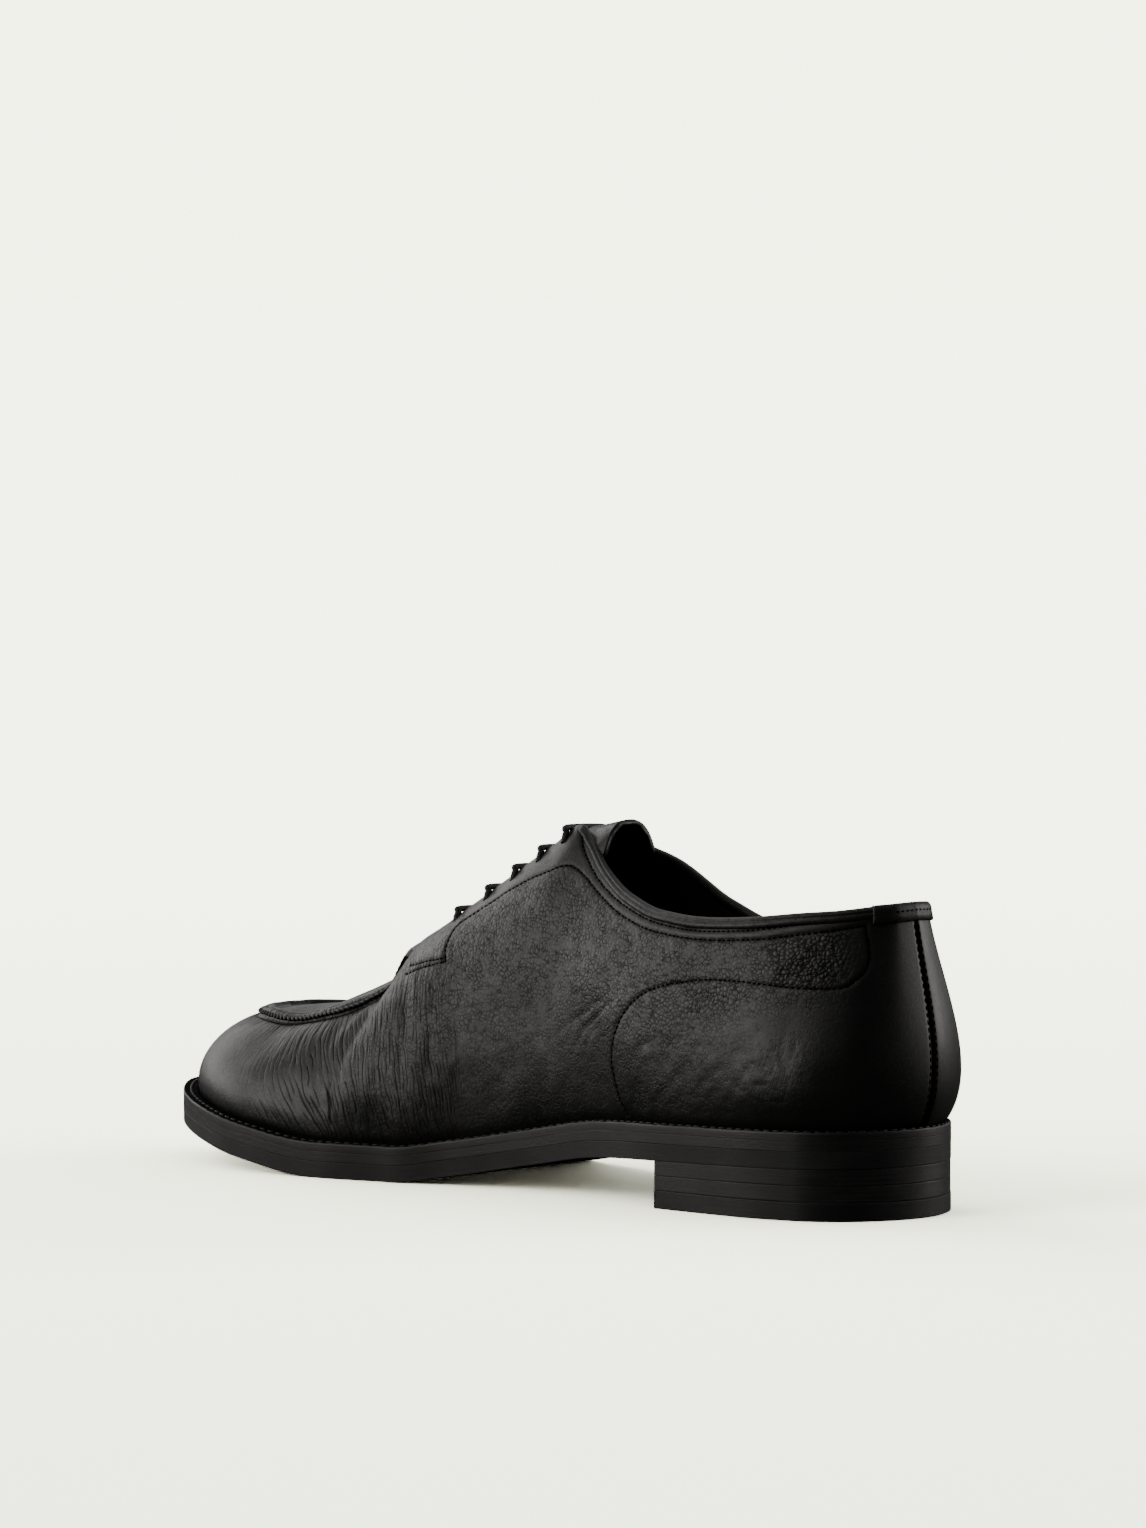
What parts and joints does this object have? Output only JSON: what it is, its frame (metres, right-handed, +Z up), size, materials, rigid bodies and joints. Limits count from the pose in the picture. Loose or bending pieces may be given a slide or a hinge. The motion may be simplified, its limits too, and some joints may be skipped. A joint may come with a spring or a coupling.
{
  "type": "split toe derby shoe",
  "caption": "Right derby in black grained leather with a raised apron seam, bar lacing and a welted rubber sole on a stacked leather heel.",
  "frame": {"origin": "on the floor, under the middle of the box round the shoe", "axes": "+X to the toe, +Y to the inner side of the foot, +Z up"},
  "size_m": [0.3076, 0.1036, 0.117],
  "materials": {
    "grained_leather": "semi-gloss pebble grain",
    "smooth_leather": "burnished, waxed",
    "lining_leather": "matte",
    "sole_rubber": "matte",
    "waxed_cord": "waxed, low sheen"
  },
  "bodies": {
    "root": {"upper": "grained_leather", "tongue": "grained_leather", "insole": "lining_leather", "welt": "smooth_leather", "midsole": "smooth_leather", "outsole": "sole_rubber", "top_lift": "sole_rubber", "heel_lift_1": "smooth_leather", "heel_lift_2": "smooth_leather", "heel_tab": "smooth_leather", "lace_bar_1": "waxed_cord", "lace_bar_2": "waxed_cord", "lace_bar_3": "waxed_cord", "lace_bar_4": "waxed_cord", "lace_bar_5": "waxed_cord"}
  },
  "joints": []
}
